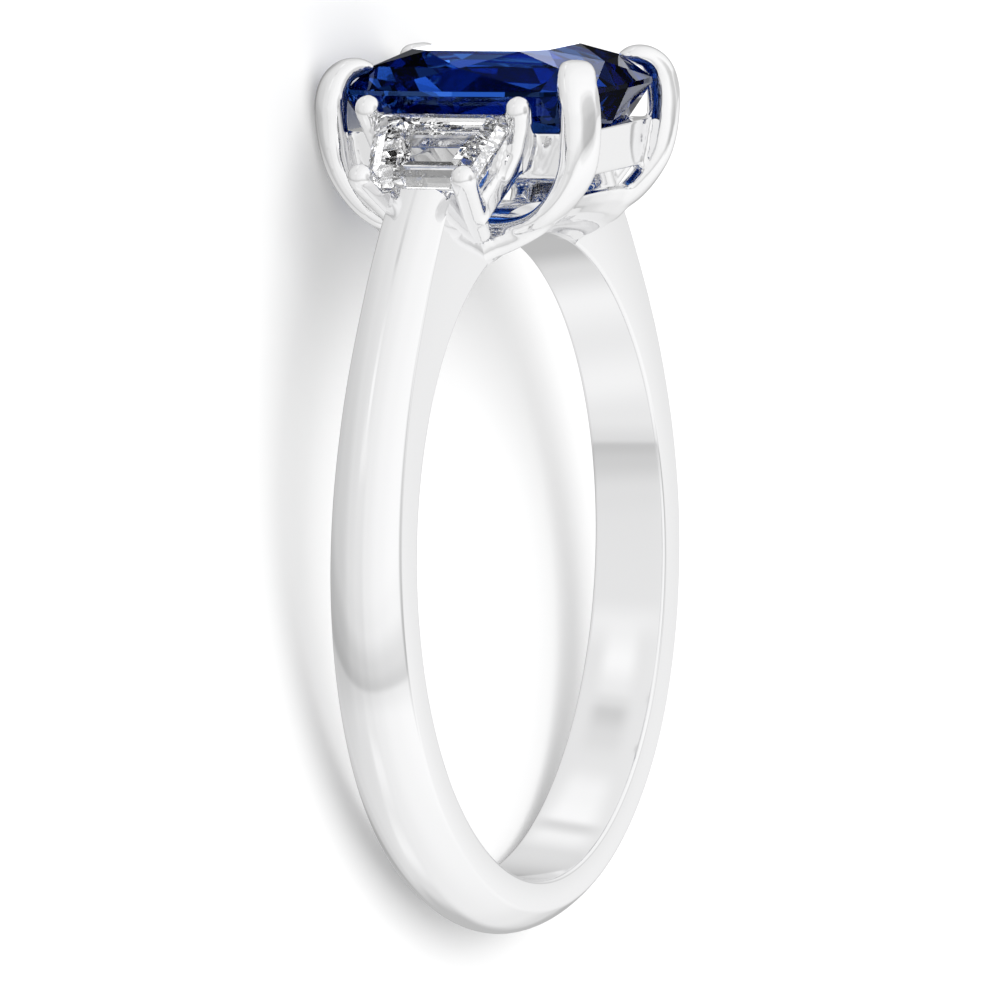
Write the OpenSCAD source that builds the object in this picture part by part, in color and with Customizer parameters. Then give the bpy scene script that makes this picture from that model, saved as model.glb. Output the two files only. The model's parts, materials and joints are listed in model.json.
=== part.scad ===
/* [Finger hole] */
// Diameter of the finger hole
hole_d = 16.5; // [14:0.1:21]

/* [Band] */
// Width of the band at the bottom of the ring
band_w_low = 2.2; // [1.8:0.05:3]
// Width of the band under the head
band_w_high = 1.72; // [1.5:0.05:2.2]
// Thickness of the band's edge at the bottom of the ring
edge_t = 0.78; // [0.6:0.02:1.2]
// Thickness of the band's edge where the shoulders end
shoulder_t = 2.66; // [2.2:0.05:3]
// Rise of the domed outside above the band's edge, at the bottom
dome_rise_low = 0.6; // [0.3:0.05:0.8]
// Rise of the domed outside above the band's edge, at the shoulders
dome_rise_high = 0.36; // [0.2:0.02:0.6]
// Thickness of the bridge over the finger hole, under the head
bridge_t = 0.78; // [0.6:0.02:1]

/* [Centre stone] */
// Length of the centre stone, along the finger
centre_l = 7.15; // [6.5:0.05:7.8]
// Width of the centre stone, across the finger
centre_w = 6; // [5.6:0.05:6.2]
// Height of the table above the top of the finger hole
table_h = 4.78; // [4.6:0.02:5.2]
// Height of the crown, from the girdle to the table
crown_h = 0.92; // [0.7:0.02:1.1]
// Depth of the pavilion, from the girdle down to the point
pavilion_h = 2.3; // [1.9:0.05:2.5]
// Thickness of the girdle
girdle_t = 0.12; // [0.06:0.01:0.2]
// Size of the table as a share of the outline
table_share = 0.54; // [0.45:0.01:0.65]

/* [Side stones] */
// Long edge of a side stone, beside the centre stone
side_long = 3.8; // [3.4:0.05:4]
// Short edge of a side stone, at the shoulder
side_short = 2.9; // [2.5:0.05:3.1]
// Length of a side stone, from its long edge to its short edge
side_l = 2.6; // [2.3:0.05:2.8]
// Slope of a side stone down toward the shoulder, in degrees
side_slope = 41; // [36:1:46]
// Height of a side stone's crown
side_crown = 0.36; // [0.25:0.01:0.45]
// Depth of a side stone's pavilion
side_pavilion = 1.15; // [0.9:0.05:1.3]
// Gap between the centre stone's girdle and a side stone's long edge
side_gap = 0.36; // [0.25:0.01:0.5]
// Drop from the centre stone's girdle to a side stone's long edge
side_drop = 0.5; // [0.35:0.05:0.65]

/* [Claws] */
// Width of a main claw, around the stone
claw_w = 1.1; // [0.9:0.02:1.2]
// Thickness of a main claw, toward the stone
claw_t = 0.56; // [0.5:0.02:0.7]
// Distance of a main claw's outside beyond the stone's corner
claw_out = 0.78; // [0.65:0.02:0.9]
// Thickness of a side stone's claw
small_claw_d = 0.64; // [0.5:0.02:0.7]

/* [Basket] */
// Thickness of the gallery wall under the centre stone
gallery_t = 0.45; // [0.35:0.01:0.6]
// Height of the gallery wall
gallery_h = 1.2; // [1:0.05:1.3]
// Distance of the gallery wall's top below the girdle
gallery_drop = 1; // [0.9:0.02:1.15]
// Thickness of a side stone's basket wall
basket_t = 0.4; // [0.3:0.01:0.5]

/* [Fit] */
// Gap between a stone and the metal that holds it
seat_gap = 0.03; // [0.02:0.005:0.06]

/* [Hidden] */
white_gold = [0.86, 0.86, 0.87];
sapphire = [0.08, 0.14, 0.55];
diamond = [0.9, 0.94, 0.98];

// Every module below draws the ring upright: X across the finger toward one shoulder,
// Y along the finger, Z up to the stones, with the centre of the finger hole at 0.
hole_r = hole_d / 2;
head_z = hole_r + table_h;
girdle_z = head_z - crown_h - girdle_t / 2;
// Angle round the ring, from the head, at which the shoulders end
shoulder_angle = 29;
shoulder_z = (hole_r + shoulder_t) * cos(shoulder_angle) + 0.12 * shoulder_t;
// How far a cut runs past a face, and a soldered piece into its neighbour
overlap = 0.05;
// Length of a cut that goes right through the ring along the finger
through = 4 * band_w_low;

// Half the band's width at a height, tapering evenly from the bottom up to the head
band_slope = (band_w_low - band_w_high) / (2 * hole_r);
function band_half(z) = (band_w_low + band_w_high) / 4 - band_slope * z / 2;

// Value at x of a smooth curve through a table's rows, read from its column col
function row_slope(t, i, col) =
    let (a = max(i - 1, 0), b = min(i + 1, len(t) - 1)) (t[b][col] - t[a][col]) / (t[b][0] - t[a][0]);
function row_of(t, x, i = 0) = i >= len(t) - 2 || x < t[i + 1][0] ? i : row_of(t, x, i + 1);
function smooth_at(t, x, col) =
    let (
        i = row_of(t, x),
        h = t[i + 1][0] - t[i][0],
        u = (x - t[i][0]) / h,
        m0 = row_slope(t, i, col) * h,
        m1 = row_slope(t, i + 1, col) * h
    )
    (2 * u ^ 3 - 3 * u ^ 2 + 1) * t[i][col] + (u ^ 3 - 2 * u ^ 2 + u) * m0
    + (3 * u ^ 2 - 2 * u ^ 3) * t[i + 1][col] + (u ^ 3 - u ^ 2) * m1;

// Faces of a skin over rings of points, with the rings joined end to end or capped
function skin_faces(rings, sides, loop) = concat(
    [for (i = [0 : rings - (loop ? 1 : 2)], j = [0 : sides - 1])
        [i * sides + j, i * sides + (j + 1) % sides, ((i + 1) % rings) * sides + (j + 1) % sides]],
    [for (i = [0 : rings - (loop ? 1 : 2)], j = [0 : sides - 1])
        [i * sides + j, ((i + 1) % rings) * sides + (j + 1) % sides, ((i + 1) % rings) * sides + j]],
    loop ? [] : [[for (j = [sides - 1 : -1 : 0]) j], [for (j = [0 : sides - 1]) (rings - 1) * sides + j]]
);
// Faces turned to look outward: clockwise from outside, which gives a negative volume
function six_volumes(points, faces) = [for (f = faces, k = [1 : len(f) - 2])
    points[f[0]] * cross(points[f[k]], points[f[k + 1]])];
function backward(f) = [for (k = [len(f) - 1 : -1 : 0]) f[k]];
function outward(points, faces) =
    let (v = six_volumes(points, faces))
    v * [for (x = v) 1] > 0 ? [for (f = faces) backward(f)] : faces;
module skin(rings, loop = false) {
    points = [for (r = rings, p = r) p];
    polyhedron(points, outward(points, skin_faces(len(rings), len(rings[0]), loop)), convexity = 8);
}

// The band's edge round the ring: angle from the head, then the share of the way
// from its thickness at the bottom to its thickness at the shoulders
edge_rows = [
    [0, 1.3], [22, 1.3], [26, 1.14], [29, 1], [33, 0.86], [37, 0.73], [45, 0.51], [52, 0.38],
    [60, 0.28], [68, 0.21], [78, 0.165], [88, 0.14], [98, 0.12], [110, 0.105], [125, 0.09],
    [140, 0.05], [155, 0.02], [180, 0]
];
function edge_r(a) = hole_r + edge_t + (shoulder_t - edge_t) * smooth_at(edge_rows, a, 1);
function dome_rise(a) = dome_rise_low + (dome_rise_high - dome_rise_low) * (1 + cos(a)) / 2;
band_steps = 72;
dome_steps = 10;
// How far the band's rings reach inside the finger hole, where the bore cuts them off
bore_overlap = 0.5;
function band_ring(a) =
    let (
        t = abs(a > 180 ? a - 360 : a),
        er = edge_r(t),
        ir = hole_r - bore_overlap,
        rise = dome_rise(t),
        at = function (y, r) [r * sin(a), y, r * cos(a)]
    )
    concat(
        [at(-band_half(ir * cos(a)), ir)],
        [for (k = [0 : dome_steps])
            let (c = -cos(180 * k / dome_steps), half = band_half(er * cos(a)))
            at(c * half, er + rise * (1 - c ^ 2))],
        [at(band_half(ir * cos(a)), ir)]
    );
module band() skin([for (i = [0 : band_steps - 1]) band_ring(360 * i / band_steps)], loop = true);

// The space over the finger hole between the two shoulders, above the bridge
cradle_share = 0.4;
cradle_x = cradle_share * hole_r;
module cradle() {
    side_x = (hole_r + shoulder_t) * sin(shoulder_angle);
    bridge_r = hole_r + bridge_t;
    foot_z = sqrt(bridge_r ^ 2 - cradle_x ^ 2);
    rotate([90, 0, 0]) linear_extrude(height = through, center = true) difference() {
        polygon([
            [-cradle_x, foot_z - overlap], [cradle_x, foot_z - overlap], [side_x, shoulder_z],
            [hole_r, shoulder_z], [hole_r, 2 * hole_r], [-hole_r, 2 * hole_r],
            [-hole_r, shoulder_z], [-side_x, shoulder_z]
        ]);
        circle(r = bridge_r, $fn = 96);
    }
}
module bore() rotate([90, 0, 0]) cylinder(r = hole_r, h = through, center = true, $fn = 96);

// Outline of the centre stone: a rectangle with bowed sides and round corners
cushion_power = 4.6;
function cushion(t, half_w, half_l, power) =
    let (c = cos(t), n = sin(t))
    [half_w * sign(c) * abs(c) ^ (2 / power), half_l * sign(n) * abs(n) ^ (2 / power)];
function cushion_ring(s, z, first, sides, grow = 0) = [for (i = [0 : sides - 1])
    let (
        t = 360 * i / sides + first,
        p = cushion(t, centre_w / 2 * s + grow, centre_l / 2 * s + grow, cushion_power)
    )
    [p[0], p[1], z]];
// A cut stone is the hull of the corners where its facets meet
module cut_stone(rings) {
    points = [for (r = rings, p = r) p];
    hull() polyhedron(points, [[for (i = [0 : len(points) - 1]) i]]);
}
// The corners below and above the girdle, eight to a row: share of the outline, share of
// the pavilion's depth or the crown's height, and the angle of the first corner
pavilion_rows = [[0.02, 1, 0], [0.46, 0.84, 22.5], [0.86, 0.43, 0]];
crown_rows = [[0.83, 0.6, 0], [table_share, 1, 22.5]];
module centre_cut(grow = 0) {
    low_z = girdle_z - girdle_t / 2 - grow;
    high_z = girdle_z + girdle_t / 2 + grow;
    cut_stone(concat(
        [for (r = pavilion_rows) cushion_ring(r[0], low_z - pavilion_h * r[1], r[2], 8, grow)],
        [cushion_ring(1, low_z, 0, 16, grow)],
        [cushion_ring(1, high_z, 0, 16, grow)],
        [for (r = crown_rows) cushion_ring(r[0], high_z + crown_h * r[1], r[2], 8, grow)]
    ));
}

// A side stone lies in a plane of its own: u runs from its long edge down to its short
// edge, v along the finger, w straight out of its table
side_x0 = centre_w / 2 + side_gap;
side_z0 = girdle_z - side_drop;
function side_point(u, v, w) = [
    side_x0 + u * cos(side_slope) + w * sin(side_slope),
    v,
    side_z0 - u * sin(side_slope) + w * cos(side_slope)
];
// The four corners at a height w, drawn in from the girdle's outline by a distance
function side_ring(inset, w) =
    let (
        lean = (side_long - side_short) / 2 / side_l,
        across = inset * sqrt(1 + lean ^ 2),
        u0 = inset,
        u1 = side_l - inset,
        v0 = side_long / 2 - across - lean * u0,
        v1 = side_long / 2 - across - lean * u1
    )
    [side_point(u0, -v0, w), side_point(u0, v0, w), side_point(u1, v1, w), side_point(u1, -v1, w)];
// A side stone's steps, from the keel up: share of half the stone's length that the
// outline is drawn in by, and share of the pavilion's depth or the crown's height
side_pavilion_rows = [[0.8, 1], [0.55, 0.78], [0.28, 0.45]];
side_crown_rows = [[0.16, 0.5], [0.36, 1]];
side_girdle = 0.6 * girdle_t;
module side_cut(grow = 0) {
    half = side_l / 2;
    low_w = -side_girdle / 2 - grow;
    high_w = side_girdle / 2 + grow;
    cut_stone(concat(
        [for (r = side_pavilion_rows) side_ring(half * r[0] - grow, low_w - side_pavilion * r[1])],
        [side_ring(-grow, low_w)],
        [side_ring(-grow, high_w)],
        [for (r = side_crown_rows) side_ring(half * r[0] - grow, high_w + side_crown * r[1])]
    ));
}

// A bar swept along a path: each row is a point, a width, a thickness and the turn of
// the width's direction about the ring's upright axis
bar_sides = 10;
function unit(v) = v / norm(v);
function bar_ring(rows, i, last) =
    let (
        t = unit(rows[min(i + 1, last)][0] - rows[max(i - 1, 0)][0]),
        b0 = [cos(rows[i][3]), sin(rows[i][3]), 0],
        b = unit(b0 - (b0 * t) * t),
        d = cross(t, b)
    )
    [for (k = [0 : bar_sides - 1])
        let (a = 360 * k / bar_sides)
        rows[i][0] + b * rows[i][1] / 2 * cos(a) + d * rows[i][2] / 2 * sin(a)];
module bar(rows) skin([for (i = [0 : len(rows) - 1]) bar_ring(rows, i, len(rows) - 1)]);

// A main claw's path, from the bridge out and up round the stone's corner and over it.
// Columns: row, share of the way across the finger and along it to the claw's outermost
// point, share of the way up from the bridge to the girdle, share of the width and of
// the thickness, and share of the claw's turn
claw_rows = [
    [0, 0.64, 0.16, 0, 1.5, 1.1, 0], [1, 0.76, 0.4, 0.015, 1.4, 1, 0],
    [2, 0.84, 0.58, 0.065, 1.25, 1, 0], [3, 0.885, 0.72, 0.155, 1.12, 1.05, 0.1],
    [4, 0.905, 0.84, 0.29, 1.05, 1.15, 0.3], [5, 0.925, 0.92, 0.44, 1, 1.3, 0.6],
    [6, 0.945, 0.955, 0.6, 1, 1.4, 0.8], [7, 0.96, 0.97, 0.78, 1, 1.4, 0.95],
    [8, 0.97, 0.965, 0.93, 1, 1.4, 1], [9, 0.94, 0.94, 1.07, 1, 1.3, 1],
    [10, 0.87, 0.885, 1.16, 0.96, 1.05, 1], [11, 0.78, 0.81, 1.185, 0.84, 0.85, 1],
    [12, 0.7, 0.735, 1.165, 0.5, 0.5, 1]
];
claw_steps = 20;
// Turn of a claw round the ring's upright axis, so that its broad side faces the corner
claw_turn = 38;
// Where the claw's middle is outermost: past the corner of the stone, toward the turn
corner_share = 2 ^ (-1 / cushion_power);
claw_past = claw_out - 0.4 * claw_t;
claw_x = centre_w / 2 * corner_share + claw_past * sin(claw_turn);
claw_y = centre_l / 2 * corner_share + claw_past * cos(claw_turn);
claw_z0 = hole_r + 0.45 * bridge_t;
claw_rise = girdle_z - claw_z0;
function claw_at(i, col) = smooth_at(claw_rows, (len(claw_rows) - 1) * i / claw_steps, col);
module main_claw() bar([for (i = [0 : claw_steps]) [
    [claw_x * claw_at(i, 1), claw_y * claw_at(i, 2), claw_z0 + claw_rise * claw_at(i, 3)],
    claw_w * claw_at(i, 4), claw_t * claw_at(i, 5), -claw_turn * claw_at(i, 6)
]]);

// Runs from one place to another on both sides of the ring and on both its faces
module four_ways() {
    for (x = [0, 1], y = [0, 1]) mirror([x, 0, 0]) mirror([0, y, 0]) children();
}
module two_shoulders() {
    for (x = [0, 1]) mirror([x, 0, 0]) children();
}

// The gallery wall under the centre stone's girdle, from claw to claw. Its outline at the
// top and at the bottom is a share of the claws' reach, so that its corners run into them.
gallery_z = girdle_z - gallery_drop;
gallery_steps = 24;
gallery_power = 24;
gallery_top = 0.925;
gallery_low = 0.875;
module gallery() skin([for (i = [0 : gallery_steps - 1])
    let (
        at = function (share, inset, z)
            let (p = cushion(
                360 * i / gallery_steps, claw_x * share - inset, claw_y * share - inset, gallery_power
            ))
            [p[0], p[1], z]
    )
    [
        at(gallery_top, gallery_t, gallery_z), at(gallery_top, 0, gallery_z),
        at(gallery_low, 0, gallery_z - gallery_h), at(gallery_low, gallery_t, gallery_z - gallery_h)
    ]
], loop = true);

// The dish under the gallery, which the claws grow out of. Across the finger it runs from
// inside the band to its full reach and back: share of the cradle's reach, share of the
// reach along the finger and share of the rise.
dish_rows = [
    [1, 0.12, 0.68], [0.93, 0.4, 0.76], [0.86, 0.8, 0.95], [0.77, 1.06, 1.2],
    [0.55, 1.06, 1.12], [0.28, 1, 1], [0, 0.98, 0.96]
];
// The wall's outside and inside, from the band out to its rim and back: share of the
// reach along the finger and of the rise above the finger hole
dish_outside = [[0.33, 0.155], [0.56, 0.3], [0.76, 0.48], [0.91, 0.73], [1, 1]];
dish_inside = [[0.88, 1.06], [0.72, 0.8], [0.5, 0.66]];
dish_reach = claw_y * 0.755;
dish_rise = bridge_t * 1.42;
function dish_section(x, flare, lift) =
    let (
        y0 = band_half(hole_r) * 0.6,
        reach = (dish_reach - y0) * flare,
        z0 = sqrt(hole_r ^ 2 - x ^ 2),
        rise = dish_rise * lift,
        half = concat(
            [[x, y0, z0 - bridge_t * 0.4]],
            [for (p = dish_outside) [x, y0 + reach * p[0], z0 + rise * p[1]]],
            [for (p = dish_inside) [x, y0 + reach * p[0], z0 + rise * p[1]]],
            [[x, y0, z0 + bridge_t * 0.5]]
        )
    )
    concat(half, [for (k = [len(half) - 1 : -1 : 0]) [x, -half[k][1], half[k][2]]]);
module dish() {
    last = len(dish_rows) - 1;
    skin(concat(
        [for (r = dish_rows) dish_section(-r[0] * cradle_x, r[1], r[2])],
        [for (i = [last - 1 : -1 : 0]) let (r = dish_rows[i]) dish_section(r[0] * cradle_x, r[1], r[2])]
    ));
}

// A side stone's basket: walls from just under its girdle down to a foot that lies a share
// of the pavilion's depth below. The foot's inner end runs into the gallery wall, and its
// outer end is a share of the way along the stone.
basket_depth = 1.2 * side_pavilion;
basket_inner = (claw_x * gallery_low - overlap - side_x0 + basket_depth * sin(side_slope)) / cos(side_slope);
basket_outer = 0.79 * side_l;
module side_basket() {
    brim = 0.25 * basket_t;
    lip = brim + side_girdle / 2 + side_crown * 0.25;
    // Half widths of the foot at its inner and its outer end
    inner_v = 0.44 * side_long;
    outer_v = 0.4 * side_short;
    foot_ring = function (inset) [
        side_point(basket_inner + inset, inset - inner_v, -basket_depth),
        side_point(basket_inner + inset, inner_v - inset, -basket_depth),
        side_point(basket_outer - inset, outer_v - inset, -basket_depth),
        side_point(basket_outer - inset, inset - outer_v, -basket_depth)
    ];
    skin([
        side_ring(brim, -lip), foot_ring(0), foot_ring(basket_t), side_ring(brim + basket_t, -lip)
    ], loop = true);
}
// Its four claws, each a bar with a round end that leans in over a corner. Columns: share
// of the way along the claw, and share of its thickness.
small_claw_rows = [[0, 1], [0.35, 1], [0.7, 1], [0.86, 0.95], [0.95, 0.72], [1, 0.36]];
module small_claw(foot, knee, tip, flare) bar([for (r = small_claw_rows)
    let (s = r[0], d = small_claw_d * r[1])
    [(1 - s) ^ 2 * foot + 2 * s * (1 - s) * knee + s ^ 2 * tip, d * (1 + flare * (1 - s) ^ 2), d, 0]
]);
module side_claws() {
    tip_w = side_girdle / 2 + 1.6 * side_crown;
    knee_w = 0.4 * side_pavilion;
    for (y = [0, 1]) mirror([0, y, 0]) {
        small_claw(
            side_point(basket_inner + 0.6 * small_claw_d, 0.42 * side_long, -basket_depth),
            side_point(0.3 * small_claw_d, side_long / 2 + 0.25 * small_claw_d, -knee_w),
            side_point(0, side_long / 2 + 0.12 * small_claw_d, tip_w),
            0.9
        );
        small_claw(
            [cradle_x + 0.2 * small_claw_d, band_half(hole_r), shoulder_z - 0.48 * shoulder_t],
            [
                cradle_x + 0.6 * shoulder_t,
                side_short / 2 - 0.2 * small_claw_d,
                shoulder_z - 0.1 * shoulder_t
            ],
            side_point(side_l - 0.3 * small_claw_d, side_short / 2, 1.15 * tip_w),
            0
        );
    }
}

// The ring stands on nothing: it lies on its side, on two claws and on the bottom of
// the band's edge. This is the tilt of that plane against the finger hole's faces.
low_y = band_half(-(hole_r + edge_t));
low_z = -(hole_r + edge_t);
rest_tilt = max([for (i = [0 : claw_steps]) atan2(
    claw_y * claw_at(i, 2) + claw_t * claw_at(i, 5) / 2 - low_y,
    claw_z0 + claw_rise * claw_at(i, 3) - low_z
)]);
module laid_down() rotate([90 - rest_tilt, 0, 0]) children();

module ring_metal() color(white_gold) laid_down() difference() {
    union() {
        difference() {
            band();
            cradle();
        }
        dish();
        four_ways() main_claw();
        gallery();
        two_shoulders() side_basket();
        two_shoulders() side_claws();
    }
    bore();
    centre_cut(seat_gap);
    two_shoulders() side_cut(seat_gap);
}
module centre_stone() color(sapphire) laid_down() centre_cut();
module side_stone_right() color(diamond) laid_down() side_cut();
module side_stone_left() color(diamond) laid_down() mirror([1, 0, 0]) side_cut();

ring_metal();
centre_stone();
side_stone_left();
side_stone_right();
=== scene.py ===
"""A polished three stone ring lying on its side on a pale floor, in soft studio light."""

import json
from math import atan2, cos, pi, radians, sin, sqrt

import bmesh
import bpy
from mathutils import Matrix, Vector


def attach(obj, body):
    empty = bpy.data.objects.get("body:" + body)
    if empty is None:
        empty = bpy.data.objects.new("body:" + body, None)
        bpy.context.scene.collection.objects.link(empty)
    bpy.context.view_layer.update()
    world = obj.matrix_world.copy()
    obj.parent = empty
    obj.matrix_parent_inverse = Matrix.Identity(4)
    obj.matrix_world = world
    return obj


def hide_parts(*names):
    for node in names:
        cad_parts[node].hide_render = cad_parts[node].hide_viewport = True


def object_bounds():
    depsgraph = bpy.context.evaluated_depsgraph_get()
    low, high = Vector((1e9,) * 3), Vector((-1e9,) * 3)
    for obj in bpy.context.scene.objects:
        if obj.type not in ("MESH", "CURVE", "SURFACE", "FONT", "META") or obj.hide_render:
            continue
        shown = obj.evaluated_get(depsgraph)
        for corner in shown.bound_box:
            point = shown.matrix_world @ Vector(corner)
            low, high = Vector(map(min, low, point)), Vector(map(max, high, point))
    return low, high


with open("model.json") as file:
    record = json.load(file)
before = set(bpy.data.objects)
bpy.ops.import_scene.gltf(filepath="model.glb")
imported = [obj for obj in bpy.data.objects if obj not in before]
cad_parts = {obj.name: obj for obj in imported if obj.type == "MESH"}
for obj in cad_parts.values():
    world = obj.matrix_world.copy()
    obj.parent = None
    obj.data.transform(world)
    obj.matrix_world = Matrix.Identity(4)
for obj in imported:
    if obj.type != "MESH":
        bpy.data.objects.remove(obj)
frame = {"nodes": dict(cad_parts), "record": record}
cad_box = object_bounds()

# Sizes in millimetres, in the ring's own upright directions: x across the finger toward the
# near shoulder, y along the finger, z up to the stones, with the centre of the hole at 0.
MM = 0.001
HOLE = frame["record"]["mounts"][0]
HOLE_R = HOLE["dims"]["r_mm"]
REST_TILT = atan2(HOLE["axis"][1], HOLE["axis"][2])
LAID_DOWN = Matrix.Rotation(pi / 2 - REST_TILT, 4, "X") @ Matrix.Scale(MM, 4)

# Band, shoulders and bridge
BAND_W_LOW = 2.2
BAND_W_HIGH = 1.72
EDGE_T = 0.78
SHOULDER_T = 2.66
DOME_RISE_LOW = 0.6
DOME_RISE_HIGH = 0.36
BRIDGE_T = 0.78

# Centre stone
CENTRE_L = 7.15
CENTRE_W = 6.0
TABLE_H = 4.78
CROWN_H = 0.92
PAVILION_H = 2.3
GIRDLE_T = 0.12
TABLE_SHARE = 0.54

# Side stones
SIDE_LONG = 3.8
SIDE_SHORT = 2.9
SIDE_L = 2.6
SIDE_SLOPE = radians(41)
SIDE_CROWN = 0.36
SIDE_PAVILION = 1.15
SIDE_GAP = 0.36
SIDE_DROP = 0.5

# Claws, gallery and baskets
CLAW_W = 1.1
CLAW_T = 0.56
CLAW_OUT = 0.78
SMALL_CLAW_D = 0.64
GALLERY_T = 0.45
GALLERY_H = 1.2
GALLERY_DROP = 1.0
BASKET_T = 0.4
SEAT_GAP = 0.03

# Places that follow from them
GIRDLE_Z = HOLE_R + TABLE_H - CROWN_H - GIRDLE_T / 2
SHOULDER_ANGLE = radians(29)
SHOULDER_Z = (HOLE_R + SHOULDER_T) * cos(SHOULDER_ANGLE) + 0.12 * SHOULDER_T
CRADLE_X = 0.4 * HOLE_R


# Curves and meshes


def smooth_at(table, x, col):
    """Value at x of a smooth curve through the table's rows, read from its column col."""
    last = len(table) - 1
    i = max([k for k in range(last) if table[k][0] <= x] or [0])

    def slope(k):
        a, b = table[max(k - 1, 0)], table[min(k + 1, last)]
        return (b[col] - a[col]) / (b[0] - a[0])

    h = table[i + 1][0] - table[i][0]
    u = (x - table[i][0]) / h
    return (
        (2 * u**3 - 3 * u**2 + 1) * table[i][col]
        + (u**3 - 2 * u**2 + u) * slope(i) * h
        + (3 * u**2 - 2 * u**3) * table[i + 1][col]
        + (u**3 - u**2) * slope(i + 1) * h
    )


def skin(bm, rings, loop=False):
    """A closed skin over rings of points, joined end to end or capped."""
    made = [[bm.verts.new(p) for p in ring] for ring in rings]
    sides = len(rings[0])
    for i in range(len(rings) if loop else len(rings) - 1):
        a, b = made[i], made[(i + 1) % len(rings)]
        for j in range(sides):
            k = (j + 1) % sides
            bm.faces.new((a[j], a[k], b[k], b[j]))
    if not loop:
        bm.faces.new(made[0])
        bm.faces.new(made[-1])


def mirrored(point, sx, sy):
    """The point on the side of the ring that the two signs name."""
    return Vector((point[0] * sx, point[1] * sy, point[2]))


def solid(name, bm):
    """An object in millimetres, with its faces turned outward."""
    bmesh.ops.recalc_face_normals(bm, faces=bm.faces)
    mesh = bpy.data.meshes.new(name)
    bm.to_mesh(mesh)
    bm.free()
    made = bpy.data.objects.new(name, mesh)
    bpy.context.scene.collection.objects.link(made)
    return made


def applied(obj):
    """Replaces the object's mesh by what its modifiers make of it."""
    graph = bpy.context.evaluated_depsgraph_get()
    mesh = bpy.data.meshes.new_from_object(obj.evaluated_get(graph))
    obj.modifiers.clear()
    obj.data = mesh
    return obj


def cut_away(obj, *cutters):
    """Takes the cutters' shapes out of an object, and then takes the cutters away."""
    for cutter in cutters:
        cut = obj.modifiers.new("cut", "BOOLEAN")
        cut.operation = "DIFFERENCE"
        cut.solver = "MANIFOLD"
        cut.object = cutter
        applied(obj)
        bpy.data.objects.remove(cutter)


def lay_down(obj, material, slot, smooth_angle, *nodes):
    """Takes a piece from millimetres to its place in the frame and finishes it."""
    obj.data.transform(LAID_DOWN)
    # Where a claw would stand past the solids' box, by 0.04 mm at most, it is flattened to it
    for v in obj.data.vertices:
        v.co = [min(max(v.co[i], cad_box[0][i]), cad_box[1][i]) for i in range(3)]
    obj.data.materials.clear()
    obj.data.materials.append(material)
    obj.data.shade_smooth()
    obj.data.set_sharp_from_angle(angle=smooth_angle)
    weighted = obj.modifiers.new("weighted", "WEIGHTED_NORMAL")
    weighted.keep_sharp = True
    applied(obj)
    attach(obj, "root")
    if nodes:
        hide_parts(*nodes)
    return obj


# Band

# How much of the shoulders' extra thickness the band has, at so many degrees from the head
EDGE_ROWS = [
    [0, 1.3], [22, 1.3], [26, 1.14], [29, 1], [33, 0.86], [37, 0.73], [45, 0.51], [52, 0.38],
    [60, 0.28], [68, 0.21], [78, 0.165], [88, 0.14], [98, 0.12], [110, 0.105], [125, 0.09],
    [140, 0.05], [155, 0.02], [180, 0],
]
BAND_STEPS = 540
DOME_STEPS = 28
CORNER_STEPS = 4
# How far the band's crisp edges and the finger hole's soft ones are rounded
EDGE_ROUND = 0.05
HOLE_ROUND = 0.1
# Edges that turn by more than this stay sharp
BAND_SHARP = radians(32)
# How far up, and to each side along the finger, the shapes that are cut away reach
CUT_TOP = 2 * HOLE_R
CUT_HALF = 2 * BAND_W_LOW
CRADLE_STEPS = 40
BORE_SIDES = 360


def band_half(z):
    """Half the band's width at a height."""
    slope = (BAND_W_LOW - BAND_W_HIGH) / (2 * HOLE_R)
    return (BAND_W_LOW + BAND_W_HIGH) / 4 - slope * z / 2


def corner(a, b, c):
    """A round corner from a to c, whose sharp point would be b. Each is (share, radius)."""
    row = []
    for k in range(CORNER_STEPS + 1):
        s = k / CORNER_STEPS
        row.append(tuple((1 - s) ** 2 * a[i] + 2 * s * (1 - s) * b[i] + s**2 * c[i] for i in (0, 1)))
    return row


def band_ring(angle):
    """The band's section at an angle in degrees from the head."""
    turn = radians(angle)
    away = abs(angle - 360 if angle > 180 else angle)
    edge = HOLE_R + EDGE_T + (SHOULDER_T - EDGE_T) * smooth_at(EDGE_ROWS, away, 1)
    rise = DOME_RISE_LOW + (DOME_RISE_HIGH - DOME_RISE_LOW) * (1 + cos(turn)) / 2
    half = band_half(edge * cos(turn))
    inner = HOLE_ROUND / half
    outer = EDGE_ROUND / half
    right = corner((1 - inner, HOLE_R), (1, HOLE_R), (1, HOLE_R + HOLE_ROUND))
    right += corner((1, edge - EDGE_ROUND), (1, edge), (1 - outer, edge + rise * (1 - (1 - outer) ** 2)))
    top = []
    for k in range(1, DOME_STEPS):
        c = (1 - outer) * cos(pi * k / DOME_STEPS)
        top.append((c, edge + rise * (1 - c**2)))
    left = [(-share, radius) for share, radius in reversed(right)]
    return [
        (r * sin(turn), share * band_half(r * cos(turn)), r * cos(turn))
        for share, r in right + top + left
    ]


def prism(name, outline, half):
    """A straight prism along the finger, from an outline across it."""
    bm = bmesh.new()
    skin(bm, [[(x, y, z) for x, z in outline] for y in (-half, half)])
    return solid(name, bm)


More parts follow.
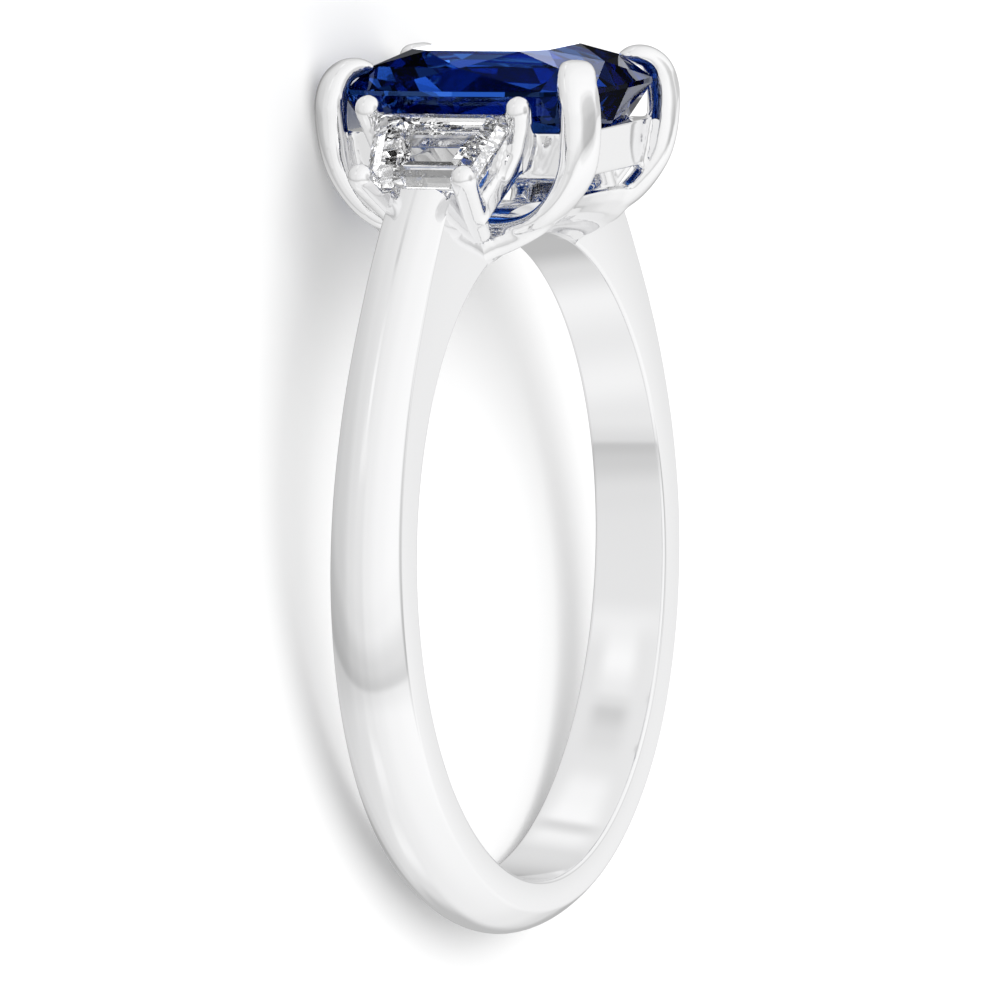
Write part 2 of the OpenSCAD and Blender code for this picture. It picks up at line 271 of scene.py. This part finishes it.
def cradle():
    """The space over the finger hole between the two shoulders, above the bridge."""
    side_x = (HOLE_R + SHOULDER_T) * sin(SHOULDER_ANGLE)
    bridge_r = HOLE_R + BRIDGE_T
    reach = atan2(CRADLE_X, sqrt(bridge_r**2 - CRADLE_X**2))
    arc = [reach * k / CRADLE_STEPS for k in range(-CRADLE_STEPS, CRADLE_STEPS + 1)]
    outline = [(bridge_r * sin(a), bridge_r * cos(a)) for a in arc]
    outline += [(side_x, SHOULDER_Z), (HOLE_R, SHOULDER_Z), (HOLE_R, CUT_TOP)]
    outline += [(-HOLE_R, CUT_TOP), (-HOLE_R, SHOULDER_Z), (-side_x, SHOULDER_Z)]
    return prism("cradle", outline, CUT_HALF)


def bore(radius):
    """A round rod through the finger hole."""
    around = [2 * pi * k / BORE_SIDES for k in range(BORE_SIDES)]
    return prism("bore", [(radius * sin(a), radius * cos(a)) for a in around], CUT_HALF)


def make_band(metal):
    """The band with its shoulders and its bridge."""
    bm = bmesh.new()
    skin(bm, [band_ring(360 * i / BAND_STEPS) for i in range(BAND_STEPS)], loop=True)
    band = solid("band", bm)
    cut_away(band, cradle())
    return lay_down(band, metal, "white_gold", BAND_SHARP, "ring_metal")


# The stones' seats, as hulls of the corners where the facets meet

CUSHION_POWER = 4.6
# Each row of the centre stone's corners: a share of its outline, a share of the pavilion's
# depth or the crown's height, and the degrees at which the first corner lies
PAVILION_ROWS = [[0.02, 1, 0], [0.46, 0.84, 22.5], [0.86, 0.43, 0]]
CROWN_ROWS = [[0.83, 0.6, 0], [TABLE_SHARE, 1, 22.5]]
# Each step of a side stone: its share of the way from the girdle to the middle, and of the
# depth or height
SIDE_PAVILION_ROWS = [[0.8, 1], [0.55, 0.78], [0.28, 0.45]]
SIDE_CROWN_ROWS = [[0.16, 0.5], [0.36, 1]]
SIDE_GIRDLE = 0.6 * GIRDLE_T
SIDE_X0 = CENTRE_W / 2 + SIDE_GAP
SIDE_Z0 = GIRDLE_Z - SIDE_DROP


def signed_power(value, power):
    return abs(value) ** power * (1 if value >= 0 else -1)


def cushion(turn, half_w, half_l, power):
    """A point on a rectangle with bowed sides and round corners."""
    return (
        half_w * signed_power(cos(turn), 2 / power),
        half_l * signed_power(sin(turn), 2 / power),
    )


def cushion_ring(share, z, first, sides, grow):
    """Corners on the cushion's outline at one height."""
    ring = []
    for i in range(sides):
        turn = radians(360 * i / sides + first)
        x, y = cushion(turn, CENTRE_W / 2 * share + grow, CENTRE_L / 2 * share + grow, CUSHION_POWER)
        ring.append(Vector((x, y, z)))
    return ring


def centre_points(grow):
    """The centre stone's corners, each moved out by grow."""
    low = GIRDLE_Z - GIRDLE_T / 2 - grow
    high = GIRDLE_Z + GIRDLE_T / 2 + grow
    points = cushion_ring(1, low, 0, 16, grow) + cushion_ring(1, high, 0, 16, grow)
    for share, depth, first in PAVILION_ROWS:
        points += cushion_ring(share, low - PAVILION_H * depth, first, 8, grow)
    for share, height, first in CROWN_ROWS:
        points += cushion_ring(share, high + CROWN_H * height, first, 8, grow)
    return points


def side_point(u, v, w):
    """u from the long edge down to the short one, v along the finger, w out of the table."""
    return Vector((
        SIDE_X0 + u * cos(SIDE_SLOPE) + w * sin(SIDE_SLOPE),
        v,
        SIDE_Z0 - u * sin(SIDE_SLOPE) + w * cos(SIDE_SLOPE),
    ))


def side_ring(inset, w):
    """The side stone's four corners, so far in from its girdle, at a height over it."""
    lean = (SIDE_LONG - SIDE_SHORT) / 2 / SIDE_L
    across = inset * sqrt(1 + lean**2)
    u0, u1 = inset, SIDE_L - inset
    v0, v1 = (SIDE_LONG / 2 - across - lean * u for u in (u0, u1))
    return [side_point(u, v, w) for u, v in ((u0, -v0), (u0, v0), (u1, v1), (u1, -v1))]


def side_points(grow):
    """The right side stone's corners, each moved out by grow."""
    low = -SIDE_GIRDLE / 2 - grow
    high = SIDE_GIRDLE / 2 + grow
    points = side_ring(-grow, low) + side_ring(-grow, high)
    for share, depth in SIDE_PAVILION_ROWS:
        points += side_ring(SIDE_L / 2 * share - grow, low - SIDE_PAVILION * depth)
    for share, height in SIDE_CROWN_ROWS:
        points += side_ring(SIDE_L / 2 * share - grow, high + SIDE_CROWN * height)
    return points


def hull(name, points):
    """The smallest solid without hollows round the points."""
    bm = bmesh.new()
    made = [bm.verts.new(p) for p in points]
    found = bmesh.ops.convex_hull(bm, input=made)
    unused = found["geom_interior"] + found["geom_unused"]
    loose = {v for v in unused if isinstance(v, bmesh.types.BMVert)}
    bmesh.ops.delete(bm, geom=list(loose), context="VERTS")
    return solid(name, bm)


# Head

# Each row of a main claw, from its foot to its tip: the row's number, and shares of CLAW_X,
# CLAW_Y, CLAW_RISE, CLAW_W, CLAW_T and CLAW_TURN
CLAW_ROWS = [
    [0, 0.64, 0.16, 0, 1.5, 1.1, 0], [1, 0.76, 0.4, 0.015, 1.4, 1, 0],
    [2, 0.84, 0.58, 0.065, 1.25, 1, 0], [3, 0.885, 0.72, 0.155, 1.12, 1.05, 0.1],
    [4, 0.905, 0.84, 0.29, 1.05, 1.15, 0.3], [5, 0.925, 0.92, 0.44, 1, 1.3, 0.6],
    [6, 0.945, 0.955, 0.6, 1, 1.4, 0.8], [7, 0.96, 0.97, 0.78, 1, 1.4, 0.95],
    [8, 0.97, 0.965, 0.93, 1, 1.4, 1], [9, 0.94, 0.94, 1.065, 0.98, 1.25, 1],
    [10, 0.87, 0.885, 1.15, 0.9, 1.05, 1], [11, 0.78, 0.81, 1.175, 0.76, 0.85, 1],
    [12, 0.7, 0.735, 1.155, 0.44, 0.5, 1],
]
# How much further out along the finger the tips of the claws that hook squarely across it lie
SQUARE_HOOK = 0.11
HOOK_START = 9
CLAW_STEPS = 60
BAR_SIDES = 24
# How square each kind of bar is: 2 is an ellipse
CLAW_POWER = 2.5
SMALL_CLAW_POWER = 2
RAIL_POWER = 4
CLAW_TURN = radians(38)
CORNER_SHARE = 2 ** (-1 / CUSHION_POWER)
CLAW_PAST = CLAW_OUT - 0.4 * CLAW_T
CLAW_X = CENTRE_W / 2 * CORNER_SHARE + CLAW_PAST * sin(CLAW_TURN)
CLAW_Y = CENTRE_L / 2 * CORNER_SHARE + CLAW_PAST * cos(CLAW_TURN)
CLAW_Z0 = HOLE_R + 0.45 * BRIDGE_T
CLAW_RISE = GIRDLE_Z - CLAW_Z0
# The head is meshed anew in cubes of this size, so that its solder joins run smooth
VOXEL = 0.06
SMOOTH_SHARE = 0.5
SMOOTH_PASSES = 6
HEAD_SHARP = radians(40)
# How much wider than the finger hole the head is bored, so that the bridge alone lines it
BORE_SLACK = 0.01


def bar(bm, rows, sx, sy, power):
    """A bar along a path. Each row is a point, a width, a thickness and the width's turn."""
    rings = []
    for i, (point, width, thick, turn) in enumerate(rows):
        ahead = (rows[min(i + 1, len(rows) - 1)][0] - rows[max(i - 1, 0)][0]).normalized()
        side = Vector((cos(turn), sin(turn), 0))
        side = (side - side.dot(ahead) * ahead).normalized()
        out = ahead.cross(side)
        ring = []
        for k in range(BAR_SIDES):
            x, y = cushion(2 * pi * k / BAR_SIDES, width / 2, thick / 2, power)
            ring.append(mirrored(point + side * x + out * y, sx, sy))
        rings.append(ring)
    skin(bm, rings)


def claw_rows(square):
    """A main claw's bar. The tip of a square one lies further out along the finger."""
    rows = []
    last = len(CLAW_ROWS) - 1
    for i in range(CLAW_STEPS + 1):
        row = last * i / CLAW_STEPS
        at = [smooth_at(CLAW_ROWS, row, c) for c in range(1, 7)]
        at[1] += square * SQUARE_HOOK * max(0, (row - HOOK_START) / (last - HOOK_START))
        place = Vector((CLAW_X * at[0], CLAW_Y * at[1], CLAW_Z0 + CLAW_RISE * at[2]))
        rows.append((place, CLAW_W * at[3], CLAW_T * at[4], -CLAW_TURN * at[5]))
    return rows


# The gallery's top and bottom as shares of the claws' places
GALLERY_TOP = 0.925
GALLERY_LOW = 0.875
GALLERY_POWER = 24
GALLERY_STEPS = 96


def gallery(bm):
    """The wall that joins the claws under the centre stone."""
    top = GIRDLE_Z - GALLERY_DROP
    rings = []
    for i in range(GALLERY_STEPS):
        ring = []
        for share, inset, z in (
            (GALLERY_TOP, GALLERY_T, top), (GALLERY_TOP, 0, top),
            (GALLERY_LOW, 0, top - GALLERY_H), (GALLERY_LOW, GALLERY_T, top - GALLERY_H),
        ):
            x, y = cushion(
                2 * pi * i / GALLERY_STEPS, CLAW_X * share - inset, CLAW_Y * share - inset, GALLERY_POWER
            )
            ring.append((x, y, z))
        rings.append(ring)
    skin(bm, rings, loop=True)


# From the middle of the dish to its end: the share of the way, of its reach and of its rise
DISH_ROWS = [
    [0, 0.98, 0.96], [0.28, 1, 1], [0.55, 1.06, 1.12], [0.77, 1.06, 1.2],
    [0.86, 0.8, 0.95], [0.93, 0.4, 0.76], [1, 0.12, 0.68],
]
# Its section: shares of the reach, and of the rise
DISH_OUTSIDE = [[0.33, 0.155], [0.56, 0.3], [0.76, 0.48], [0.91, 0.73], [1, 1]]
DISH_INSIDE = [[0.88, 1.06], [0.72, 0.8], [0.5, 0.66]]
DISH_STEPS = 80
DISH_Y0 = 0.6 * band_half(HOLE_R)
DISH_REACH = 0.755 * CLAW_Y - DISH_Y0
DISH_RISE = 1.42 * BRIDGE_T
DISH_BOTTOM = 0.4 * BRIDGE_T
DISH_TOP = 0.5 * BRIDGE_T


def dish(bm):
    """The flared dish that the claws grow out of."""
    rings = []
    for i in range(DISH_STEPS + 1):
        share = 2 * i / DISH_STEPS - 1
        x = share * CRADLE_X
        reach = DISH_REACH * smooth_at(DISH_ROWS, abs(share), 1)
        rise = DISH_RISE * smooth_at(DISH_ROWS, abs(share), 2)
        z0 = sqrt(HOLE_R**2 - x**2)
        half = [(DISH_Y0, z0 - DISH_BOTTOM)]
        half += [(DISH_Y0 + reach * p[0], z0 + rise * p[1]) for p in DISH_OUTSIDE + DISH_INSIDE]
        half += [(DISH_Y0, z0 + DISH_TOP)]
        rings.append([(x, y, z) for y, z in half] + [(x, -y, z) for y, z in reversed(half)])
    skin(bm, rings)


# A basket's foot, which runs into the gallery's wall, and how far its brim lies inside and
# under the stone's girdle
FOOT_OVERLAP = 0.05
BASKET_DEPTH = 1.2 * SIDE_PAVILION
BASKET_INNER = (
    CLAW_X * GALLERY_LOW - FOOT_OVERLAP - SIDE_X0 + BASKET_DEPTH * sin(SIDE_SLOPE)
) / cos(SIDE_SLOPE)
BASKET_OUTER = 0.79 * SIDE_L
BASKET_INNER_V = 0.44 * SIDE_LONG
BASKET_OUTER_V = 0.4 * SIDE_SHORT
BRIM_INSET = 0.25 * BASKET_T
BRIM_DROP = BRIM_INSET + SIDE_GIRDLE / 2 + 0.25 * SIDE_CROWN


def basket(bm, sx):
    """The open frame under a side stone."""

    def foot(inset):
        return [
            side_point(BASKET_INNER + inset, inset - BASKET_INNER_V, -BASKET_DEPTH),
            side_point(BASKET_INNER + inset, BASKET_INNER_V - inset, -BASKET_DEPTH),
            side_point(BASKET_OUTER - inset, BASKET_OUTER_V - inset, -BASKET_DEPTH),
            side_point(BASKET_OUTER - inset, inset - BASKET_OUTER_V, -BASKET_DEPTH),
        ]

    def brim(inset):
        return side_ring(BRIM_INSET + inset, -BRIM_DROP)

    rings = [brim(0), foot(0), foot(BASKET_T), brim(BASKET_T)]
    skin(bm, [[mirrored(p, sx, 1) for p in ring] for ring in rings], loop=True)


# From the foot of a small claw to its tip: the share of the way and of its thickness
SMALL_CLAW_ROWS = [
    [0, 1], [0.35, 1], [0.7, 1.04], [0.84, 1.1], [0.9, 1.02], [0.95, 0.84], [0.98, 0.6], [1, 0.24],
]
# The claws at a side stone's upper edge start at the basket's foot, widened by the flare, and
# those at its lower edge in the shoulder
TIP_W = SIDE_GIRDLE / 2 + 1.6 * SIDE_CROWN
UPPER_V = SIDE_LONG / 2 + 0.25 * SMALL_CLAW_D
UPPER_FOOT = side_point(BASKET_INNER + 0.6 * SMALL_CLAW_D, 0.42 * SIDE_LONG, -BASKET_DEPTH)
UPPER_KNEE = side_point(0.3 * SMALL_CLAW_D, UPPER_V, -0.4 * SIDE_PAVILION)
UPPER_TIP = side_point(0, UPPER_V, TIP_W)
UPPER_FLARE = 1.7
LOWER_FOOT = Vector((
    CRADLE_X + 0.2 * SMALL_CLAW_D,
    band_half(HOLE_R),
    SHOULDER_Z - 0.48 * SHOULDER_T,
))
LOWER_KNEE = Vector((
    CRADLE_X + 0.7 * SHOULDER_T,
    SIDE_SHORT / 2 - 0.25 * SMALL_CLAW_D,
    SHOULDER_Z - 0.1 * SHOULDER_T,
))
LOWER_TIP = side_point(SIDE_L + 0.15 * SMALL_CLAW_D, SIDE_SHORT / 2, 1.35 * TIP_W)


def small_claw(bm, foot, knee, tip, flare, sx, sy):
    """A round claw on a curve from its foot to its tip, bent toward its knee."""
    rows = []
    for s, share in SMALL_CLAW_ROWS:
        d = SMALL_CLAW_D * share
        place = (1 - s) ** 2 * foot + 2 * s * (1 - s) * knee + s**2 * tip
        rows.append((place, d * (1 + flare * (1 - s) ** 2), d, 0))
    bar(bm, rows, sx, sy, SMALL_CLAW_POWER)


RAIL_W = 0.42
RAIL_H = 0.62
RAIL_STEPS = 6
RAIL_START = side_point(
    BASKET_INNER + 0.3 * SMALL_CLAW_D,
    0.42 * SIDE_LONG,
    0.1 * SMALL_CLAW_D - BASKET_DEPTH,
)
RAIL_END = Vector((
    CRADLE_X + 0.45 * SHOULDER_T,
    0.36 * SIDE_LONG - 0.3 * SMALL_CLAW_D,
    SHOULDER_Z - 0.3 * SHOULDER_T,
))


def side_rail(bm, sx, sy):
    """The rail along the foot of a side stone's basket, from claw to claw."""
    turn = atan2(RAIL_END.y - RAIL_START.y, RAIL_END.x - RAIL_START.x) + pi / 2
    rows = []
    for k in range(RAIL_STEPS + 1):
        rows.append((RAIL_START.lerp(RAIL_END, k / RAIL_STEPS), RAIL_W, RAIL_H, turn))
    bar(bm, rows, sx, sy, RAIL_POWER)


def make_head(metal):
    """The dish, the gallery, the baskets, the rails and all claws, soldered into one."""
    bm = bmesh.new()
    dish(bm)
    gallery(bm)
    for sx in (1, -1):
        basket(bm, sx)
        for sy in (1, -1):
            bar(bm, claw_rows(sx == sy), sx, sy, CLAW_POWER)
            small_claw(bm, UPPER_FOOT, UPPER_KNEE, UPPER_TIP, UPPER_FLARE, sx, sy)
            small_claw(bm, LOWER_FOOT, LOWER_KNEE, LOWER_TIP, 0, sx, sy)
            side_rail(bm, sx, sy)
    head = solid("head", bm)
    remesh = head.modifiers.new("solder", "REMESH")
    remesh.mode = "VOXEL"
    remesh.voxel_size = VOXEL
    smooth = head.modifiers.new("polish", "SMOOTH")
    smooth.factor = SMOOTH_SHARE
    smooth.iterations = SMOOTH_PASSES
    applied(head)
    right, left = (hull("seat", side_points(SEAT_GAP)) for _ in range(2))
    left.data.transform(Matrix.Scale(-1, 4, (1, 0, 0)))
    left.data.flip_normals()
    cut_away(head, bore(HOLE_R + BORE_SLACK), hull("seat", centre_points(SEAT_GAP)), right, left)
    return lay_down(head, metal, "white_gold", HEAD_SHARP)


# Materials

WHITE_GOLD = (0.9, 0.9, 0.905, 1)
# The polish varies softly between these two values of roughness
POLISH_BEST = 0.035
POLISH_LEAST = 0.1
POLISH_SCALE = 900
POLISH_DETAIL = 3
# The sapphire's faces, its gloss, and the colour and density of its inside
SAPPHIRE = (0.2, 0.5, 1, 1)
SAPPHIRE_GLOSS = (0.15, 0.35, 1, 1)
SAPPHIRE_GLOSS_LEVEL = 0.06
SAPPHIRE_DEPTH = (0.1, 0.33, 0.66, 1)
SAPPHIRE_DENSITY = 520
SAPPHIRE_IOR = 1.77
DIAMOND = (1, 1, 1, 1)
DIAMOND_IOR = 2.42


def material(name):
    """A new material, its node tree and its shader."""
    made = bpy.data.materials.new(name)
    made.use_nodes = True
    tree = made.node_tree
    shader = tree.nodes["Principled BSDF"]
    return made, tree, shader


def noise(tree, scale, detail, low, high):
    """A Noise texture, with so many spots to a metre, taken to the range from low to high."""
    place = tree.nodes.new("ShaderNodeTexCoord")
    texture = tree.nodes.new("ShaderNodeTexNoise")
    texture.inputs["Scale"].default_value = scale
    texture.inputs["Detail"].default_value = detail
    spread = tree.nodes.new("ShaderNodeMapRange")
    spread.inputs["To Min"].default_value = low
    spread.inputs["To Max"].default_value = high
    tree.links.new(place.outputs["Object"], texture.inputs["Vector"])
    tree.links.new(texture.outputs["Fac"], spread.inputs["Value"])
    return spread.outputs["Result"]


def white_gold():
    """Metal with a high polish."""
    made, tree, shader = material("white_gold")
    shader.inputs["Base Color"].default_value = WHITE_GOLD
    shader.inputs["Metallic"].default_value = 1
    polish = noise(tree, POLISH_SCALE, POLISH_DETAIL, POLISH_BEST, POLISH_LEAST)
    tree.links.new(polish, shader.inputs["Roughness"])
    return made


def gem(name, colour, ior):
    """A clear cut stone with polished facets."""
    made, tree, shader = material(name)
    shader.inputs["Base Color"].default_value = colour
    shader.inputs["Roughness"].default_value = 0
    shader.inputs["IOR"].default_value = ior
    shader.inputs["Transmission Weight"].default_value = 1
    return made, tree, shader


def sapphire():
    """A blue stone, whose colour deepens along the light's way through it."""
    made, tree, shader = gem("sapphire", SAPPHIRE, SAPPHIRE_IOR)
    shader.inputs["Specular IOR Level"].default_value = SAPPHIRE_GLOSS_LEVEL
    shader.inputs["Specular Tint"].default_value = SAPPHIRE_GLOSS
    tint = tree.nodes.new("ShaderNodeVolumeAbsorption")
    tint.inputs["Color"].default_value = SAPPHIRE_DEPTH
    tint.inputs["Density"].default_value = SAPPHIRE_DENSITY
    tree.links.new(tint.outputs["Volume"], tree.nodes["Material Output"].inputs["Volume"])
    return made


def diamond():
    """A white stone."""
    made, _, _ = gem("diamond", DIAMOND, DIAMOND_IOR)
    return made


def dress(node, made):
    """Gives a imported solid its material."""
    mesh = frame["nodes"][node].data
    mesh.materials.clear()
    mesh.materials.append(made)


# Floor, light and camera

# The photograph's view: the camera's turn about the ring, its lift and its roll, its distance,
# and how far right of the ring's centre and over it the picture centres
CAMERA_TURN = radians(67.371)
CAMERA_LIFT = radians(6)
CAMERA_ROLL = radians(-1.35)
CAMERA_DISTANCE = 412.5
CENTRED_RIGHT = -0.288
CENTRED_UP = 1.499
LENS = 586.2
SENSOR_WIDTH = 36


def camera():
    """A camera that sees the lying ring as the photograph shows it, upright."""
    flat = cos(CAMERA_LIFT)
    back = Vector((sin(CAMERA_TURN) * flat, cos(CAMERA_TURN) * flat, sin(CAMERA_LIFT)))
    right = Vector((0, 0, 1)).cross(back).normalized()
    up = back.cross(right)
    across = cos(CAMERA_ROLL) * right + sin(CAMERA_ROLL) * up
    upward = cos(CAMERA_ROLL) * up - sin(CAMERA_ROLL) * right
    place = back * CAMERA_DISTANCE + across * CENTRED_RIGHT + upward * CENTRED_UP
    pose = Matrix((across, upward, back)).transposed().to_4x4()
    turned = Matrix.Rotation(pi / 2 - REST_TILT, 4, "X")
    data = bpy.data.cameras.new("camera")
    data.lens = LENS
    data.sensor_width = SENSOR_WIDTH
    data.clip_start = 0.01
    data.clip_end = 10
    made = bpy.data.objects.new("camera", data)
    made.matrix_world = Matrix.Translation(LAID_DOWN @ place) @ turned @ pose
    bpy.context.scene.collection.objects.link(made)
    bpy.context.scene.camera = made


# Half the floor's side, in metres
FLOOR_HALF = 2.0
FLOOR_WHITE = (0.93, 0.93, 0.93, 1)
FLOOR_ROUGHNESS = 0.6


def floor():
    """A pale floor, which shows in no reflection and through no stone."""
    bm = bmesh.new()
    z = cad_box[0][2]
    corners = ((-1, -1), (1, -1), (1, 1), (-1, 1))
    bm.faces.new([bm.verts.new((x * FLOOR_HALF, y * FLOOR_HALF, z)) for x, y in corners])
    made = solid("floor", bm)
    paint, _, shader = material("floor")
    shader.inputs["Base Color"].default_value = FLOOR_WHITE
    shader.inputs["Roughness"].default_value = FLOOR_ROUGHNESS
    made.data.materials.append(paint)
    made.visible_glossy = False
    made.visible_transmission = False


def math_node(tree, operation, *values):
    """A Math node over numbers and sockets, and its result."""
    node = tree.nodes.new("ShaderNodeMath")
    node.operation = operation
    for socket, value in zip(node.inputs, values):
        if isinstance(value, (int, float)):
            socket.default_value = value
        else:
            tree.links.new(value, socket)
    return node.outputs[0]


def mixed(tree, share, first, second):
    """first where share is 0, second where it is 1."""
    node = tree.nodes.new("ShaderNodeMix")
    tree.links.new(share, node.inputs["Factor"])
    tree.links.new(first, node.inputs["A"])
    tree.links.new(second, node.inputs["B"])
    return node.outputs["Result"]


def along(tree, direction, axis):
    """How far a direction of view points along one of the ring's own axes, from -1 to 1."""
    node = tree.nodes.new("ShaderNodeVectorMath")
    node.operation = "DOT_PRODUCT"
    tree.links.new(direction, node.inputs[0])
    node.inputs[1].default_value = (LAID_DOWN.to_3x3() @ Vector(axis)).normalized()
    return node.outputs["Value"]


def curve(tree, value, points, end=1):
    """A smooth curve of levels over a value that runs from -end to end."""
    share = tree.nodes.new("ShaderNodeMapRange")
    share.inputs["From Min"].default_value = -end
    share.inputs["From Max"].default_value = end
    tree.links.new(value, share.inputs["Value"])
    ramp = tree.nodes.new("ShaderNodeValToRGB")
    ramp.color_ramp.interpolation = "EASE"
    stops = ramp.color_ramp.elements
    while len(stops) < len(points):
        stops.new(0.5)
    for stop, (at, level) in zip(stops, points):
        stop.position = (at + end) / (2 * end)
        stop.color = (level, level, level, 1)
    tree.links.new(share.outputs["Result"], ramp.inputs["Fac"])
    return ramp.outputs["Color"]


# The studio's light round the metal, as levels by where a direction points: along the finger,
# up from a plane that leans toward the near shoulder, and toward what lies behind the ring.
# Where the inside of the band mirrors it, the level goes by the angle about the finger.
WORLD_LIGHT = 1.1
ALONG_FINGER = [
    (-1, 0.63), (-0.8, 0.74), (-0.4, 0.795), (0, 0.86), (0.5, 0.93), (0.86, 0.98), (0.92, 0.86),
    (0.965, 0.68), (1, 0.64),
]
LEAN = radians(17.5)
BY_HEIGHT = [(-1, 1.0), (-0.42, 1.0), (-0.3, 0.9), (-0.27, 0.68), (-0.18, 0.78), (0.0, 0.96), (0.2, 1)]
BEHIND = [(-1, 1), (0.5, 1), (0.72, 0.94), (0.86, 0.8), (0.94, 0.5), (1, 0.4)]
BEHIND_TURN = radians(-117)
HOLE_BANDS = [
    (-180, 0.5), (-136, 0.55), (-118, 0.8), (-98, 1.0), (-78, 0.92), (-60, 1.0), (-46, 0.9),
    (-10, 0.85), (20, 0.87), (32, 0.98), (44, 1.06), (55, 0.94), (60, 0.82), (64, 0.68), (74, 0.8),
    (86, 0.88), (100, 1.02), (115, 1.06), (120, 0.76), (127, 1.0), (140, 0.8), (180, 0.5),
]
HOLE_BANDS_TOP = 1.1
# How much of the level by angle a direction gets, by how far it points along the finger, and
# the narrower share of the high directions, which HIGH picks out
HOLE_SHARE = [(-0.6, 0), (-0.46, 1), (-0.3, 1), (-0.12, 0)]
HIGH_HOLE_SHARE = [(-0.47, 0), (-0.41, 1), (-0.355, 1), (-0.29, 0)]
HIGH = [(-1, 0), (0.4, 0), (0.6, 1), (1, 1)]
# The stones see their own surroundings. Each set of soft streaks there: how fast it changes
# up, along and across, and how deep it is
GEM_STREAKS = [(15, 4, 0, 0.35), (3, 0, 11, 0.3), (-4, 17, 5, 0.2)]
# How fast each set of thin dark lines comes and goes up, along and across
GEM_LINES = [(23, 9, 0), (-6, 33, 8), (5, -12, 28)]
GEM_LINE = [(-1, 1), (0.6, 1), (0.9, 0.12), (1, 0.12)]
GEM_LIGHT = 1.5
# Each card that the stones mirror: where it stands, the cosines at which it ends and at
# which it is full, and how much of the light it leaves. The last one adds light instead
GEM_CARDS = [
    ((-0.2, -0.4, 0.88), 0.8, 0.91, 0.06),
    ((0.5, -0.35, -0.78), 0.8, 0.92, 0.06),
    ((-0.99, 0.15, 0), 0.86, 0.91, 0.1),
    ((-0.92, -0.38, 0.1), 0.93, 0.97, 1.6),
]


def studio():
    """The light from all round."""
    world = bpy.data.worlds.new("studio")
    bpy.context.scene.world = world
    world.use_nodes = True
    tree = world.node_tree
    sky = tree.nodes["Background"]
    sky.inputs["Color"].default_value = (1, 1, 1, 1)
    direction = tree.nodes.new("ShaderNodeTexCoord").outputs["Generated"]
    finger = along(tree, direction, (0, 1, 0))
    height = along(tree, direction, (0, 0, 1))
    across = along(tree, direction, (1, 0, 0))
    behind = along(tree, direction, (sin(BEHIND_TURN), cos(BEHIND_TURN), 0))
    leaning = along(tree, direction, (sin(LEAN), 0, cos(LEAN)))
    by_height = curve(tree, leaning, BY_HEIGHT)
    open_light = math_node(tree, "MULTIPLY", curve(tree, finger, ALONG_FINGER), by_height)
    open_light = math_node(tree, "MULTIPLY", open_light, curve(tree, behind, BEHIND))
    angle = math_node(tree, "ARCTAN2", height, across)
    stops = [(radians(a), level / HOLE_BANDS_TOP) for a, level in HOLE_BANDS]
    bands = curve(tree, angle, stops, pi)
    bands = math_node(tree, "MULTIPLY", bands, HOLE_BANDS_TOP / WORLD_LIGHT)
    bands = math_node(tree, "MULTIPLY", bands, by_height)
    low_share = curve(tree, finger, HOLE_SHARE)
    high_share = curve(tree, finger, HIGH_HOLE_SHARE)
    share = mixed(tree, curve(tree, height, HIGH), low_share, high_share)
    light = mixed(tree, share, open_light, bands)
    gem_light = GEM_LIGHT / WORLD_LIGHT

    def wave(up, over, aside):
        phase = math_node(tree, "MULTIPLY", height, up)
        phase = math_node(tree, "MULTIPLY_ADD", finger, over, phase)
        return math_node(tree, "SINE", math_node(tree, "MULTIPLY_ADD", across, aside, phase))

    for *speeds, depth in GEM_STREAKS:
        streak = math_node(tree, "MULTIPLY_ADD", wave(*speeds), depth, 1)
        gem_light = math_node(tree, "MULTIPLY", streak, gem_light)
    for speeds in GEM_LINES:
        lines = curve(tree, wave(*speeds), GEM_LINE)
        gem_light = math_node(tree, "MULTIPLY", lines, gem_light)
    mirrored_light = gem_light
    for place, end, middle, left in GEM_CARDS:
        near = along(tree, direction, place)
        card = curve(tree, near, [(-1, 1), (end, 1), (middle, left), (1, left)])
        mirrored_light = math_node(tree, "MULTIPLY", mirrored_light, card)
    path = tree.nodes.new("ShaderNodeLightPath").outputs
    gem_light = mixed(tree, path["Is Transmission Ray"], mirrored_light, gem_light)
    # Only the stones are smooth enough to send on a ray without spreading it
    light = mixed(tree, path["Is Singular Ray"], light, gem_light)
    tree.links.new(math_node(tree, "MULTIPLY", light, WORLD_LIGHT), sky.inputs["Strength"])


# In metres and watts
SOFTBOX_AT = (0.15, -0.12, 0.5)
SOFTBOX_SIZE = 0.6
SOFTBOX_POWER = 1.4


def softbox():
    """A broad light for the soft shadow, which shows in no reflection and through no stone."""
    data = bpy.data.lights.new("softbox", "AREA")
    data.size = SOFTBOX_SIZE
    data.energy = SOFTBOX_POWER
    made = bpy.data.objects.new("softbox", data)
    made.location = SOFTBOX_AT
    made.rotation_euler = (-made.location).to_track_quat("-Z", "Y").to_euler()
    made.visible_glossy = False
    made.visible_transmission = False
    bpy.context.scene.collection.objects.link(made)


# Light bounces many times inside the stones, and between them and the metal
BOUNCES = 32
GLOSSY_BOUNCES = 24

metal = white_gold()
make_band(metal)
make_head(metal)
blue = sapphire()
clear = diamond()
dress("centre_stone", blue)
dress("side_stone_left", clear)
dress("side_stone_right", clear)
camera()
floor()
studio()
softbox()
bpy.context.scene.cycles.max_bounces = BOUNCES
bpy.context.scene.cycles.glossy_bounces = GLOSSY_BOUNCES
bpy.context.scene.cycles.transmission_bounces = BOUNCES
bpy.context.scene.view_settings.view_transform = "Standard"
